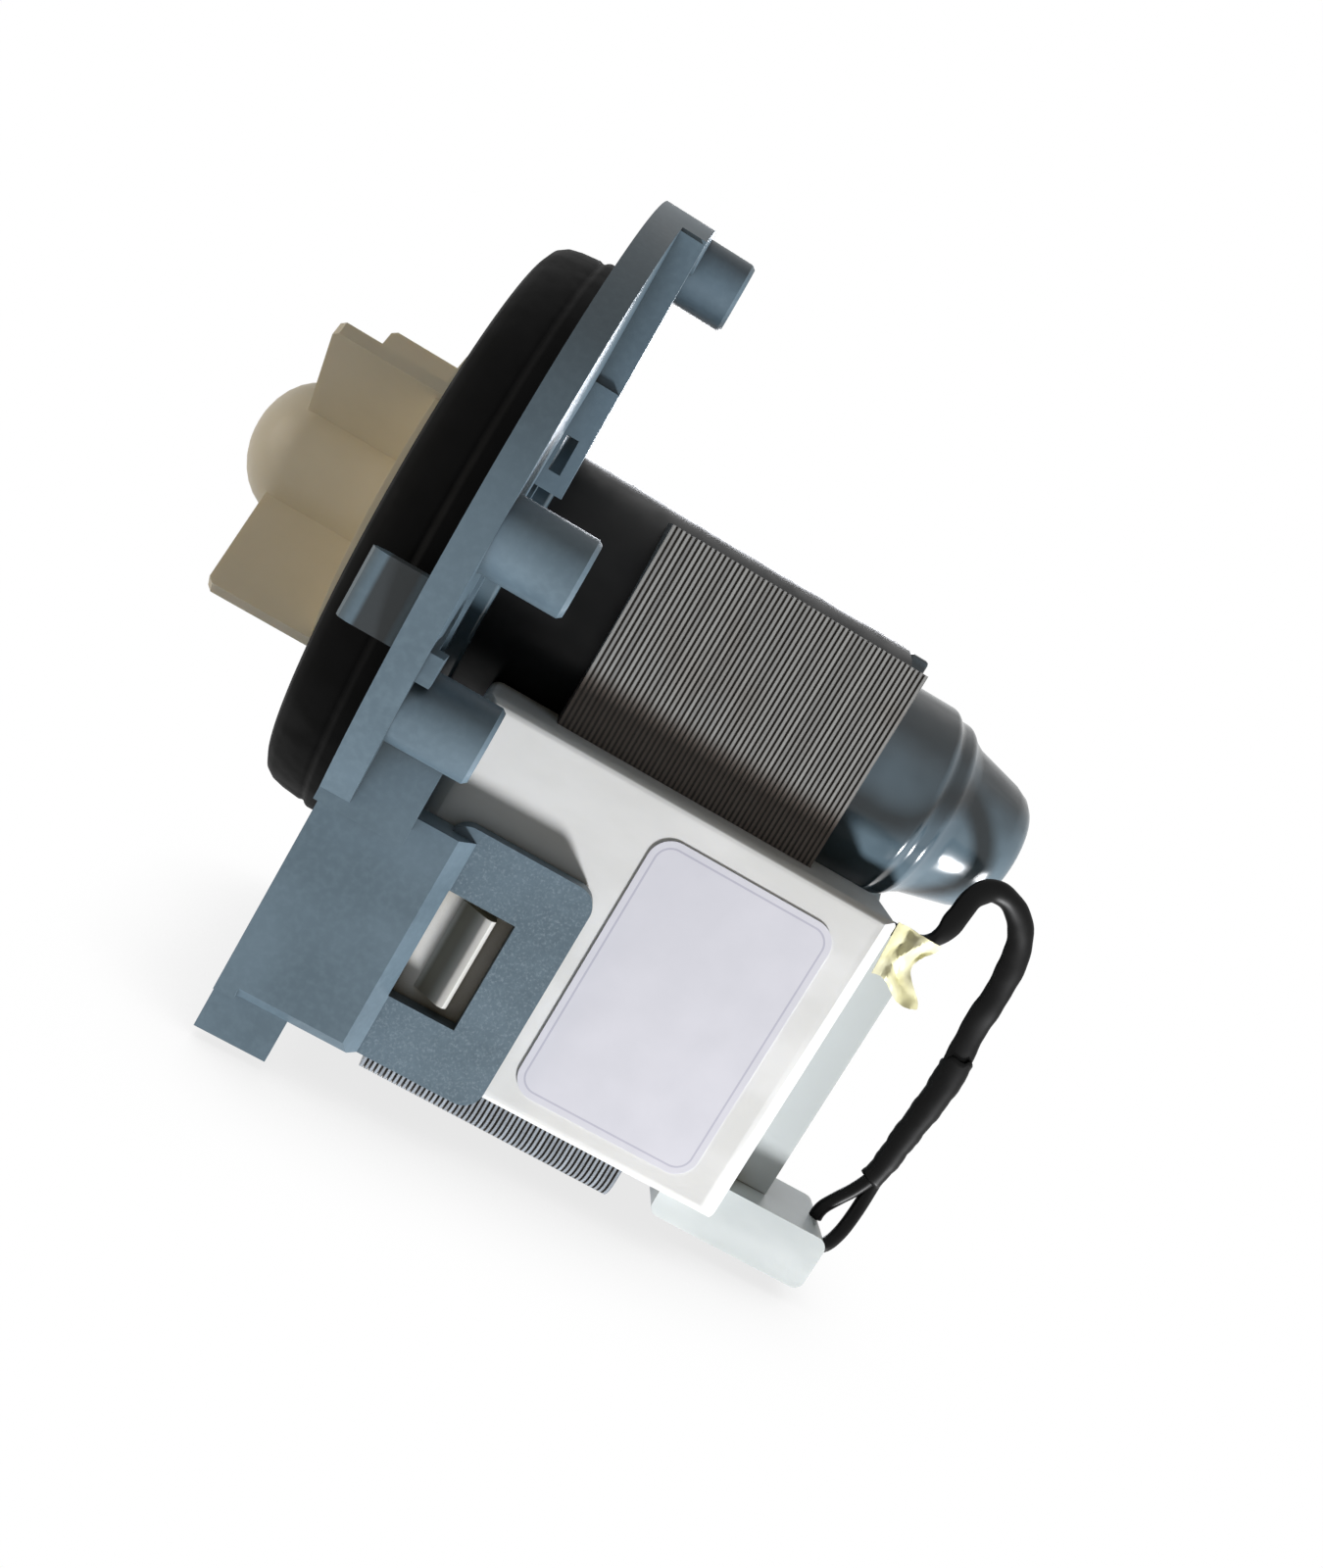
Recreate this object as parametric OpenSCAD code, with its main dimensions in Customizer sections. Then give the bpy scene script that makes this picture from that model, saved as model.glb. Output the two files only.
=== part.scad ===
// Washer drain pump: an impeller driven by a small synchronous motor with a U-shaped laminated core.
// X runs along the shaft and points away from the impeller. Z points from the yoke to the rotor.
// The origin is on the shaft axis, in the front face of the mounting flange.

/* [Flange] */
// Diameter of the mounting flange
rim_d = 97; // [97:0.5:101]
// Thickness of the flange at its rim
rim_t = 3.5; // [3:0.1:4.5]
// Diameter of the drum that enters the pump chamber
drum_d = 70; // [68:0.5:71]
// How far the drum stands ahead of the flange
drum_len = 8; // [7:0.5:10]
// Wall of the drum and its end plate
drum_wall = 2.5; // [2:0.1:3]
// Number of stiffening ribs inside the drum
rib_count = 8; // [6:1:12]
// Thickness of a rib
rib_t = 1.6; // [1.2:0.1:2.4]

/* [Screw bosses] */
// Distance of the boss axes from the shaft axis
boss_circle_r = 43.7; // [43.2:0.1:43.8]
// Outside diameter of a boss
boss_d = 9; // [8:0.1:9.2]
// Screw hole in a boss
screw_hole_d = 4.4; // [3.6:0.1:5]
// How far the bosses reach behind the flange face
boss_reach = 13; // [11:0.5:15]
// Angle of the upper pair of bosses above the level line
upper_pair_angle = 7.5; // [5:0.5:10]
// Angle of the lower pair of bosses below the level line
lower_pair_angle = 19; // [18:0.5:21]

/* [Gasket] */
// Diameter of the gasket at its foot
gasket_d = 78; // [77.5:0.5:80]
// How far the gasket reaches ahead of the flange
gasket_len = 9; // [8.4:0.1:9.6]
// Depth of the seat for the gasket in the flange
seat_depth = 0.3; // [0.2:0.05:0.6]

/* [Rotor] */
// Shaft diameter
shaft_d = 5; // [4:0.1:5.5]
// Radial clearance of everything that turns on or in another piece
run_gap = 0.04; // [0.02:0.01:0.08]
// Magnet diameter
magnet_d = 24.8; // [22:0.1:25.2]
// Magnet length
magnet_len = 38; // [34:0.5:40]
// Gap between the magnet and the wall of its well
air_gap = 0.7; // [0.5:0.05:0.9]
// Wall of the rotor well
well_wall = 0.9; // [0.7:0.05:1.2]
// Thickness of the rubber sleeve round the well
sleeve_t = 3.5; // [3:0.1:3.8]

/* [Impeller] */
// Diameter over the vanes
impeller_d = 48; // [46:0.2:50]
// Number of vanes
vane_count = 4; // [3:1:8]
// Thickness of a vane
vane_t = 2; // [1.4:0.1:2.6]
// Length of a vane ahead of the base disc
vane_len = 14; // [13:0.1:16]
// Thickness of the base disc
disc_t = 1.8; // [1.4:0.1:2.4]
// Gap between the base disc and the drum
disc_gap = 1.6; // [1.4:0.1:3]
// Outside diameter of the hub
hub_d = 18.4; // [17:0.1:20]
// How far the nose stands ahead of the vanes
nose_len = 5.8; // [3.6:0.1:6.6]
// Turn of the vanes at rest
vane_turn = 50; // [0:1:89]
// Width of the driving lug and of the driven lug, in degrees
lug_angle = 90; // [70:1:100]

/* [Core] */
// Number of sheets in the core
sheets = 54; // [50:1:56]
// Thickness of one sheet
sheet_t = 0.65; // [0.63:0.01:0.66]
// Distance from the flange face to the core
core_x = 19.1; // [18.5:0.1:20]
// Width and depth of the groove between two sheets
groove = 0.2; // [0.1:0.05:0.25]
// Width of the core over both legs
core_w = 42; // [41:0.2:43]
// Width of one leg
leg_w = 12; // [11:0.1:12.5]
// Height of the pole tips above the shaft axis
pole_h = 15.5; // [14:0.1:16.5]
// Depth of the yoke's underside below the shaft axis
yoke_drop = 61; // [60:0.2:62]
// Height of the yoke
yoke_h = 11; // [10:0.1:11.5]

/* [Coils] */
// Wall of the coil cover
cover_wall = 1.4; // [1:0.1:1.8]
// Room between the bobbins and the cover's side walls
side_room = 0.25; // [0.15:0.05:0.5]
// Room behind the windings for the terminals
rear_room = 7.15; // [6.5:0.05:7.6]
// Front end of the cover, from the flange face
cover_front = 10; // [9:0.1:11]
// Top of the cover below the shaft axis
cover_top = 11.2; // [10.5:0.1:12]
// Bottom of the cover below the shaft axis
cover_bottom = 54.5; // [54:0.1:55.5]
// Rounding of the cover's top and bottom edges
cover_edge_r = 1.4; // [0.8:0.1:1.6]
// Clearance of the bobbins round the legs and inside the cover
coil_gap = 0.15; // [0.1:0.05:0.25]
// Wall of a bobbin
bobbin_wall = 0.9; // [0.7:0.05:1]
// Thickness of a winding on its bobbin
winding_t = 2.4; // [2:0.1:2.6]

/* [Latches] */
// Length of the latch window along the shaft
window_w = 8.6; // [8.2:0.1:9.4]
// Height of the latch window
window_h = 14.4; // [13.4:0.1:15.4]
// Middle of the window behind the flange face
window_x = 21.8; // [21.4:0.1:22.2]
// Middle of the window below the shaft axis
window_drop = 40; // [39:0.1:41]
// Thickness of a latch plate
latch_t = 2.5; // [2:0.1:3]
// Clearance between a latch plate and the coil cover
latch_gap = 0.7; // [0.5:0.05:1]

/* [Connector] */
// Length of the connector housing along the shaft
plug_len = 22.5; // [21.5:0.5:24]
// Width of the connector housing
plug_w = 12; // [11.6:0.1:13]
// Wall of the connector housing
plug_wall = 1.2; // [0.9:0.1:1.3]
// Depth of the connector housing below the coil cover
plug_h = 5.1; // [4.9:0.1:6]
// Diameter of the lead
lead_d = 3.2; // [2.6:0.1:3.6]

/* [Hidden] */
$fn = 64;
rim_r = rim_d / 2;
drum_r = drum_d / 2;
plate_rear = drum_wall - drum_len;
BOSS_ANGLES = [90, upper_pair_angle, 180 - upper_pair_angle, -lower_pair_angle, 180 + lower_pair_angle];
shaft_r = shaft_d / 2;
eps = 0.01;
// Rotor well, seen from the shaft axis outwards
bore_r = magnet_d / 2 + air_gap;
well_r = bore_r + well_wall;
sleeve_r = well_r + sleeve_t;
collar_r = sleeve_r + 2.5;
collar_front = plate_rear + 3;
collar_rear = rim_t + 2;
ring_wall = 2.5;
// Core and magnet share their middle
stack_len = sheets * sheet_t - groove;
core_end = core_x + stack_len;
core_mid = core_x + stack_len / 2;
magnet_x = core_mid - magnet_len / 2;
// Rear bearing seat and the stepped end of the well
seat_front = magnet_x + magnet_len + 4.4;
seat_len = 9;
seat_r = 7.5;
well_step = seat_front + 6;
well_end = seat_front + 20.5;
// Bearings
bush_r = 4.5;
bush_len = 8.5;
front_bush_x = -4;
rear_bush_x = seat_front + 0.5;
washer_t = 1;
washer_r = 4.4;
carrier_r = 5.5;
end_disc_t = 2;
end_disc_r = magnet_d / 2 - 0.6;
seal_r = 6.5;
// Impeller
disc_rear = -drum_len - disc_gap;
disc_front = disc_rear - disc_t;
vane_front = disc_front - vane_len;
nose_front = vane_front - nose_len;
hub_r = hub_d / 2;
dome_len = nose_len + 1.4;
chamber_r = 6.5;
chamber_front = disc_front - 13;
dog_r = 4;
lug_len = 9.5;
lug_rear = chamber_front + 10;
cap_t = 2.5;
cap_front = lug_rear + 0.3;
// Legs, bobbins and windings
leg_mid = (core_w - leg_w) / 2;
yoke_top = yoke_drop - yoke_h;
corner_r = 3;
coil_top = sleeve_r + 1.7;
saddle_gap = 0.4;
bobbin_top = coil_top + coil_gap;
bobbin_bottom = yoke_top - coil_gap - cover_wall - coil_gap;
flange_t = 1;
flange_w = coil_gap + bobbin_wall + winding_t + 0.2;
// Coil cover
cover_half_w = core_w / 2 + flange_w + side_room + cover_wall;
cover_rear = core_end + flange_w - 0.2 + rear_room + cover_wall;
// Latch arms, measured from the middle plane
latch_in = cover_half_w + latch_gap;
latch_out = latch_in + latch_t;
bracket_out = latch_out + 3;
bracket_top = 26.5;
bracket_bottom = 55;
bracket_rear = 16.2;
plate_top = 25;
plate_bottom = 55;
plate_end = 32.9;
// Terminal shroud, connector and lead
shroud_rear = cover_rear + 7;
shroud_half_w = 16;
shroud_top = 13.5;
plug_x = cover_rear - 6.4;
plug_near = -20.4;
plug_bottom = cover_bottom + plug_h;
plug_top = 52;
shroud_bottom = plug_top - 0.1;
plug_end = plug_x + plug_len;
blade_t = 0.8;
blade_w = 4.8;
pin_w = 0.8;
label_t = 0.2;
// Route of the lead, from the rear face of the cover to the top of the connector
ROUTE = [[0, -21.6, -12.6], [2.6, -21.6, -12.6], [5, -21.3, -12], [6.6, -20.6, -10.2], [7.3, -19.8, -7.6],
    [8, -18.8, -4.8], [9.8, -17.8, -3], [12.2, -17, -2.8], [14.8, -16.4, -3.9], [16.9, -15.8, -6],
    [18.2, -15.3, -9], [18.8, -15, -12.4], [19, -14.8, -15.6], [19, -14.6, -19], [19.4, -14.4, -22.6],
    [19.8, -14.4, -26.2], [19.8, -14.4, -30], [19.5, -14.4, -33.8], [19.2, -14.4, -37.4],
    [19, -14.4, -40.6], [18.5, -14.4, -43.6], [17.4, -14.4, -46.2], [16.2, -14.4, -48.2],
    [15.2, -14.4, -50], [14.9, -14.4, -51.1], [14.9, -14.4, -52]];
LEAD = [for (p = ROUTE) p + [cover_rear, 0, 0]];

// Turns a shape drawn upwards so that it stands along the shaft, from x
module along_shaft(x) {
    translate([x, 0, 0]) rotate([0, 90, 0]) children();
}

// A round bar or disc on the shaft axis from x1 to x2
module bar(x1, x2, r) {
    along_shaft(x1) cylinder(h = x2 - x1, r = r);
}

// A ring on the shaft axis
module tube(x1, x2, r_out, r_in) {
    difference() {
        bar(x1, x2, r_out);
        bar(x1 - 1, x2 + 1, r_in);
    }
}

// A revolved profile, given as [radius, x] points
module turned(points) {
    rotate([0, 90, 0]) rotate_extrude() polygon(points);
}

// An outline in the plane across the shaft, as [y, z], extruded from x1 to x2
module across(x1, x2) {
    translate([x1, 0, 0]) rotate([90, 0, 90]) linear_extrude(x2 - x1) children();
}

// A box between two corners
module block(a, b) {
    translate(a) cube(b - a);
}

// A rectangle with rounded corners between two corners
module round_rect(a, b, r) {
    translate(a + [r, 0]) square(b - a - [2 * r, 0]);
    translate(a + [0, r]) square(b - a - [0, 2 * r]);
    for (x = [a[0] + r, b[0] - r], y = [a[1] + r, b[1] - r]) translate([x, y]) circle(r, $fn = 32);
}

// Draws a shape and its mirror image on the far side
module both_sides() {
    children();
    mirror([0, 1, 0]) children();
}

// Places a shape at a boss: angle 0 is the near side, 90 is the top
module at_boss(angle) {
    translate([0, -boss_circle_r * cos(angle), boss_circle_r * sin(angle)]) children();
}

module boss_body() {
    along_shaft(0) cylinder(h = boss_reach - 0.5, d = boss_d);
    along_shaft(boss_reach - 0.5 - eps) cylinder(h = 0.5 + eps, d1 = boss_d, d2 = boss_d - 0.8);
}

module boss_hole() {
    bar(-1, boss_reach + 1, screw_hole_d / 2);
}

// One latch arm: bracket box, foot, latch plate with its window, and the web up to the flange
module latch_arm() {
    difference() {
        union() {
            translate([0, 0, -bracket_bottom]) linear_extrude(bracket_bottom - bracket_top)
                polygon([[0, -latch_in], [0, -bracket_out], [bracket_rear - 0.6, -bracket_out],
                    [bracket_rear + 1.4, -latch_out], [bracket_rear + 1.4, -latch_in]]);
            translate([0, -latch_in, 0]) rotate([90, 0, 0]) linear_extrude(latch_t)
                round_rect([bracket_rear - 2, -plate_bottom], [plate_end, -plate_top], 2.6);
        }
        block([drum_wall, -bracket_out + drum_wall, -bracket_bottom - 1],
            [bracket_rear - 2.4, -latch_in + 1, -bracket_top - drum_wall]);
        block([window_x - window_w / 2, -bracket_out, -window_drop - window_h / 2],
            [window_x + window_w / 2, -latch_in + 1, -window_drop + window_h / 2]);
        translate([0, -bracket_out, -bracket_bottom]) rotate([45, 0, 0]) cube([80, 2, 2], center = true);
    }
    block([0, -bracket_out + 1.5, -bracket_bottom - 5.6],
        [9, -bracket_out + drum_wall + 1.5, -bracket_bottom + 4]);
    block([0, -rim_r + 8, -bracket_top - 1.5], [10.4, -bracket_out + eps, -19]);
    block([0, -bracket_out, -bracket_bottom], [drum_wall, -20, -bracket_top]);
}

// The part of a shape behind the rim, or the part up to the rim's rear face
module behind_rim() {
    difference() {
        children();
        block([-1, -rim_r, -rim_d], [rim_t, rim_r, rim_r]);
    }
}

module up_to_rim_rear() {
    intersection() {
        children();
        block([-1, -rim_r, -rim_d], [rim_t, rim_r, rim_r]);
    }
}

// Rim, cut off where the latch arms begin, with their roots and the gasket's seat
module rim() {
    difference() {
        union() {
            difference() {
                tube(0, rim_t, rim_r, drum_r - drum_wall);
                both_sides() block([-1, -rim_r - 1, -rim_r], [rim_t + 1, -bracket_out, -bracket_top]);
            }
            both_sides() up_to_rim_rear() latch_arm();
        }
        bar(-1, seat_depth, gasket_d / 2 + 0.4);
    }
}

module front_flange() {
    color("#66747f") difference() {
        union() {
            rim();
            for (a = BOSS_ANGLES) at_boss(a) boss_body();
            both_sides() {
                rib_stub();
                front_lug();
            }
            stiffener(3.1);
            mirror([0, 1, 0]) stiffener(1.8);
            top_ear();
        }
        for (a = BOSS_ANGLES) at_boss(a) boss_hole();
    }
}

// Drum that enters the pump chamber: its wall, its end plate, and the ring and ribs behind the plate
module flange_drum() {
    color("#66747f") difference() {
        union() {
            tube(-drum_len, seat_depth, drum_r, drum_r - drum_wall);
            bar(-drum_len, plate_rear, drum_r);
            tube(plate_rear - eps, rim_t, collar_r + ring_wall, collar_r);
            for (i = [0 : rib_count - 1]) rotate([360 * (i + 0.5) / rib_count, 0, 0])
                block([plate_rear - eps, collar_r + ring_wall / 2, -rib_t / 2],
                    [seat_depth, drum_r - drum_wall / 2, rib_t / 2]);
        }
        bar(-drum_len - 1, plate_rear + 1, seal_r);
    }
}

module near_latch_arm() {
    color("#66747f") behind_rim() latch_arm();
}

module far_latch_arm() {
    color("#66747f") behind_rim() mirror([0, 1, 0]) latch_arm();
}

// Straight rib behind the flange, beside the rotor well, with a pocket
module stiffener(rise) {
    difference() {
        union() {
            block([rim_t - 1, -22.2, 11.4], [rim_t + rise, -19.6, 24.6]);
            block([rim_t - 1, -21.4, 24], [rim_t + rise, -19.6, 43.4]);
        }
        block([rim_t + 0.2, -23, 13.6], [rim_t + 0.55 * rise, -18, 18]);
    }
}

// Short end of a rib behind the rim, between two bosses
module rib_stub() {
    block([rim_t - 1, -47, -10.9], [rim_t + 1.6, -42, -7.6]);
}

// Locating lug ahead of the rim, outside the gasket
module front_lug() {
    translate([0, 0, -9.2]) linear_extrude(7.8)
        polygon([[1, -rim_r + 2.3], [1, -rim_r + 5.6], [-5.2, -rim_r + 5.6], [-6.2, -rim_r + 4.8],
            [-6.5, -rim_r + 3.8], [-6.1, -rim_r + 2.8], [-5.1, -rim_r + 2.3]]);
}

// Thick ear behind the rim at the top boss
module top_ear() {
    intersection() {
        block([0, -20.4, 42.6], [rim_t + 3.1, 20.4, rim_r + 1]);
        bar(0, rim_t + 3.1, rim_r);
    }
}

module gasket() {
    r = gasket_d / 2;
    color("#141414") turned([[drum_r, seat_depth], [r, seat_depth], [r, -2.5], [r - 0.6, -3], [r - 0.4, -3.7],
        [r - 0.7, -gasket_len + 3], [r - 1.1, -gasket_len + 1.5], [r - 1.8, -gasket_len + 0.5],
        [r - 2.8, -gasket_len], [drum_r, -gasket_len]]);
}

// Deep closed tube that the rotor turns in, with its stepped rear end
module rotor_well() {
    color("#5f6c77") difference() {
        union() {
            turned([[0, collar_front], [collar_r, collar_front], [collar_r, collar_rear],
                [well_r, collar_rear], [well_r, well_step - 1], [well_r - 1, well_step],
                [well_r - 1, well_step + 1.9], [well_r - 2.1, well_step + 3.1],
                [well_r - 2.9, well_step + 4.6], [well_r - 4.6, well_step + 11.4],
                [well_r - 5.4, well_step + 13.2], [well_r - 6.6, well_end], [0, well_end]]);
            block([core_end + 0.8, -4, 0], [core_end + 3.6, 4, sleeve_r - 0.2]);
        }
        bar(collar_front - 1, seat_front, bore_r);
        bar(seat_front - 1, seat_front + seat_len, seat_r);
        bar(seat_front, well_end - 5, shaft_r + 0.7);
    }
}

module well_sleeve() {
    color("#1b1c1e") tube(collar_rear, core_end + 0.8, sleeve_r, well_r);
}

module o_ring() {
    r = (collar_front - plate_rear) / 2;
    color("#222222") along_shaft(plate_rear + r) rotate_extrude()
        translate([collar_r - r, 0]) circle(r - 0.03, $fn = 24);
}

module front_bearing_holder() {
    r = collar_r - (collar_front - plate_rear);
    color("#d8d4c8") difference() {
        union() {
            bar(plate_rear, collar_front, r);
            bar(collar_front - eps, front_bush_x + bush_len + 0.5, bore_r);
        }
        bar(plate_rear - 1, 20, seat_r);
    }
}

module bearing_mount(x) {
    color("#2a2a2a") tube(x + 0.5, x + bush_len - 0.5, seat_r, bush_r);
}

module front_bearing_mount() {
    bearing_mount(front_bush_x);
}

module rear_bearing_mount() {
    bearing_mount(rear_bush_x);
}

module bush(x) {
    color("#8f8672") tube(x, x + bush_len, bush_r, shaft_r + run_gap);
}

module front_bush() {
    bush(front_bush_x);
}

module rear_bush() {
    bush(rear_bush_x);
}

module shaft_seal() {
    color("#1f1f1f") turned([[shaft_r + run_gap, -drum_len + 0.6], [shaft_r + run_gap, -drum_len - 0.6],
        [4, -drum_len - 1], [5, -drum_len - 0.4], [seal_r, -drum_len - 0.4], [seal_r, plate_rear],
        [4.6, plate_rear], [4.2, -drum_len + 0.6]]);
}

module shaft() {
    color("#c8ccd0") turned([[0, nose_front + 2.5], [shaft_r - 0.4, nose_front + 2.5],
        [shaft_r, nose_front + 2.9], [shaft_r, well_end - 6.4], [shaft_r - 0.4, well_end - 6],
        [0, well_end - 6]]);
}

module magnet() {
    color("#3a3a3e") tube(magnet_x, magnet_x + magnet_len, magnet_d / 2, carrier_r);
}

module magnet_carrier() {
    color("#e6e2d6") difference() {
        union() {
            bar(front_bush_x + bush_len + 0.2 + washer_t, seat_front - washer_t + 0.3, carrier_r);
            bar(magnet_x - end_disc_t, magnet_x, end_disc_r);
            bar(magnet_x + magnet_len, magnet_x + magnet_len + end_disc_t, end_disc_r);
        }
        bar(-10, well_end, shaft_r);
    }
}

module thrust_washers() {
    front = front_bush_x + bush_len + 0.2;
    rear = seat_front - washer_t + 0.3;
    color("#b9b4a2") for (x = [front, rear]) tube(x, x + washer_t, washer_r, shaft_r);
}

// A ring sector round the shaft axis, centred on an angle
module sector(x1, x2, r_in, r_out, angle, middle) {
    a = angle / 2;
    intersection() {
        tube(x1, x2, r_out, r_in);
        rotate([middle, 0, 0]) translate([x1, 0, 0]) rotate([90, 0, 90]) linear_extrude(x2 - x1)
            polygon(2 * r_out * [[0, 0], [cos(a), -sin(a)], [1, 0], [cos(a), sin(a)]]);
    }
}

module drive_dog() {
    color("#d9d5c8") difference() {
        union() {
            bar(chamber_front + 0.3, cap_front + cap_t + 0.3, dog_r);
            sector(chamber_front + 0.3, lug_rear, dog_r - 1, chamber_r - 0.3, lug_angle, 0);
        }
        bar(chamber_front - 1, 0, shaft_r);
    }
}

module vane() {
    linear_extrude(vane_t, center = true) polygon([[disc_rear - disc_t / 2, chamber_r + 1],
        [vane_front, chamber_r + 1], [vane_front + 0.7, impeller_d / 2 - 0.7],
        [vane_front + 1.4, impeller_d / 2], [disc_rear - disc_t / 2, impeller_d / 2]]);
}

module impeller() {
    color("#cfc7b4") difference() {
        union() {
            bar(disc_front, disc_rear, impeller_d / 2 - 1);
            turned([[0, disc_rear], [hub_r, disc_rear], each [for (a = [0 : 10 : 90])
                [hub_r * cos(a), nose_front + dome_len * (1 - sin(a))]]]);
            for (i = [0 : vane_count - 1]) rotate([vane_turn + 360 * i / vane_count, 0, 0]) vane();
        }
        difference() {
            bar(chamber_front, disc_rear + 1, chamber_r);
            sector(chamber_front - 1, lug_rear, dog_r + 0.25, chamber_r + 1, lug_angle, 180);
        }
        bar(nose_front + 2, chamber_front + 1, shaft_r + run_gap);
    }
}

module impeller_cap() {
    color("#c4bca8") tube(cap_front, cap_front + cap_t, chamber_r, dog_r + run_gap);
}

// Outline of a sheet, drawn in by a depth on its outer edges
module core_outline(in) {
    difference() {
        union() {
            translate([-core_w / 2 + in, -yoke_drop + corner_r])
                square([core_w - 2 * in, yoke_drop - corner_r + pole_h - in]);
            round_rect([-core_w / 2 + in, -yoke_drop + in], [core_w / 2 - in, -yoke_top], corner_r - in);
        }
        circle(sleeve_r);
        translate([-core_w / 2 + leg_w, -yoke_top]) square([core_w - 2 * leg_w, yoke_top + pole_h + 1]);
    }
}

// Stack of sheets: a groove between each sheet and the next
module stator_core() {
    color("#8b8780") {
        across(core_x, core_end - groove) core_outline(groove);
        for (i = [0 : sheets - 1])
            across(core_x + i * sheet_t, core_x + (i + 1) * sheet_t - groove) core_outline(0);
    }
}

// Rectangle round one leg, grown by g, in plan
module leg_plan(g, r = 0.5) {
    round_rect([core_x - g, -leg_mid - leg_w / 2 - g], [core_end + g, -leg_mid + leg_w / 2 + g], r);
}

module leg_tube(z1, z2, g_out, g_in, r) {
    translate([0, 0, z1]) linear_extrude(z2 - z1) difference() {
        leg_plan(g_out, r);
        leg_plan(g_in, 0.1);
    }
}

module near_bobbin() {
    g = coil_gap;
    color("#e9e9e4") {
        leg_tube(-bobbin_bottom, -bobbin_top, g + bobbin_wall, g, 0.6);
        leg_tube(-bobbin_bottom, -bobbin_bottom + flange_t, flange_w, g, 1.5);
        leg_tube(-bobbin_top - flange_t, -bobbin_top, flange_w, g, 1.5);
    }
}

module near_winding() {
    g = coil_gap + bobbin_wall;
    color("#a8592b") leg_tube(-bobbin_bottom + flange_t, -bobbin_top - flange_t, g + winding_t, g, 2);
}

module far_bobbin() {
    mirror([0, 1, 0]) near_bobbin();
}

module far_winding() {
    mirror([0, 1, 0]) near_winding();
}

// Snap catch that stands in a latch window
module catch() {
    z1 = -window_drop - window_h / 2 + 1.4;
    x1 = window_x - window_w / 2 + 2.1;
    x2 = window_x + window_w / 2 - 2;
    translate([0, 0, z1]) linear_extrude(window_h - 2.4)
        polygon([[x1, -cover_half_w + 1], [x1, -cover_half_w], [x2 - 1.5, -latch_out + 0.9],
            [x2 - 1.1, -latch_out + 0.7], [x2 - 0.5, -latch_out + 0.7], [x2, -latch_out + 1.2],
            [x2, -cover_half_w + 1]]);
}

// Outer form of the coil cover: rounded in plan, and along its top and bottom edges
module cover_body() {
    intersection() {
        translate([0, 0, -cover_bottom]) linear_extrude(cover_bottom - cover_top)
            round_rect([cover_front, -cover_half_w], [cover_rear, cover_half_w], 3);
        across(cover_front - 1, cover_rear + 1)
            round_rect([-cover_half_w, -cover_bottom], [cover_half_w, -cover_top], cover_edge_r);
        translate([0, cover_half_w + 1, 0]) rotate([90, 0, 0]) linear_extrude(2 * cover_half_w + 2)
            round_rect([cover_front, -cover_bottom], [cover_rear, -cover_top], cover_edge_r);
    }
}

module coil_cover() {
    x1 = core_x - coil_gap;
    x2 = core_end + coil_gap;
    y2 = core_w / 2 + coil_gap;
    color("#d9dad8") difference() {
        union() {
            cover_body();
            both_sides() catch();
            block([cover_rear - 1, -shroud_half_w, -shroud_bottom],
                [shroud_rear, shroud_half_w, -shroud_top]);
        }
        block([cover_front + cover_wall, -cover_half_w + cover_wall, -bobbin_bottom - coil_gap],
            [cover_rear - cover_wall, cover_half_w - cover_wall, -coil_top]);
        block([cover_rear, -shroud_half_w + cover_wall, -shroud_bottom - 1],
            [shroud_rear - cover_wall, shroud_half_w - cover_wall, -shroud_top - cover_wall]);
        bar(0, 100, sleeve_r + saddle_gap);
        block([x1, -y2, -cover_bottom - 1], [x2, y2, -yoke_top + coil_gap]);
        both_sides() translate([0, 0, -cover_bottom - 1]) linear_extrude(cover_bottom)
            leg_plan(coil_gap, 0.1);
        pin_set(cover_rear - cover_wall - 1, cover_rear + 1);
    }
}

module label() {
    color("#e6e4ee") translate([0, -cover_half_w, 0]) rotate([90, 0, 0]) linear_extrude(label_t)
        round_rect([cover_rear - 30.6, -cover_bottom + 3.1], [cover_rear - 6, -cover_top - 4.2], 3);
}

// Square pins that join the windings to the lead, inside the terminal shroud
module pin_set(x1, x2) {
    for (y = [-10, 0, 10]) block([x1, y - pin_w / 2, -24 - pin_w / 2], [x2, y + pin_w / 2, -24 + pin_w / 2]);
}

module coil_pins() {
    color("#c9ccce") pin_set(core_end + coil_gap + bobbin_wall + winding_t + 0.4, cover_rear + 3.4);
}

module thermal_cutout() {
    x = core_end + coil_gap + bobbin_wall + winding_t;
    color("#222226") block([x, -20, -42], [x + 3.4, -9, -30]);
}

module insulation_tape() {
    color("#e8dfa0") block([cover_rear, -24.4, -20.8], [cover_rear + 5.5, -18.8, -14.4]);
}

// An outline in the plane along the shaft, as [x, z], drawn across the connector
module plug_slice() {
    translate([0, plug_near + plug_w, 0]) rotate([90, 0, 0]) linear_extrude(plug_w) children();
}

module connector_housing() {
    color("#d3d7da") difference() {
        union() {
            plug_slice() round_rect([plug_x, -plug_bottom], [plug_end, -plug_bottom + 4], 1.4);
            plug_slice() translate([plug_x, -plug_bottom + 2]) square([plug_len, plug_h - 2]);
            plug_slice() translate([cover_rear, -plug_bottom + 2])
                square([plug_end - cover_rear, plug_bottom - 2 - plug_top]);
        }
        block([plug_x + plug_wall, plug_near + plug_wall, -plug_bottom - 1],
            [plug_end - 4.4, plug_near + plug_w - plug_wall, -cover_bottom - 0.6]);
        blade_set(-plug_bottom, -cover_bottom);
    }
}

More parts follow.
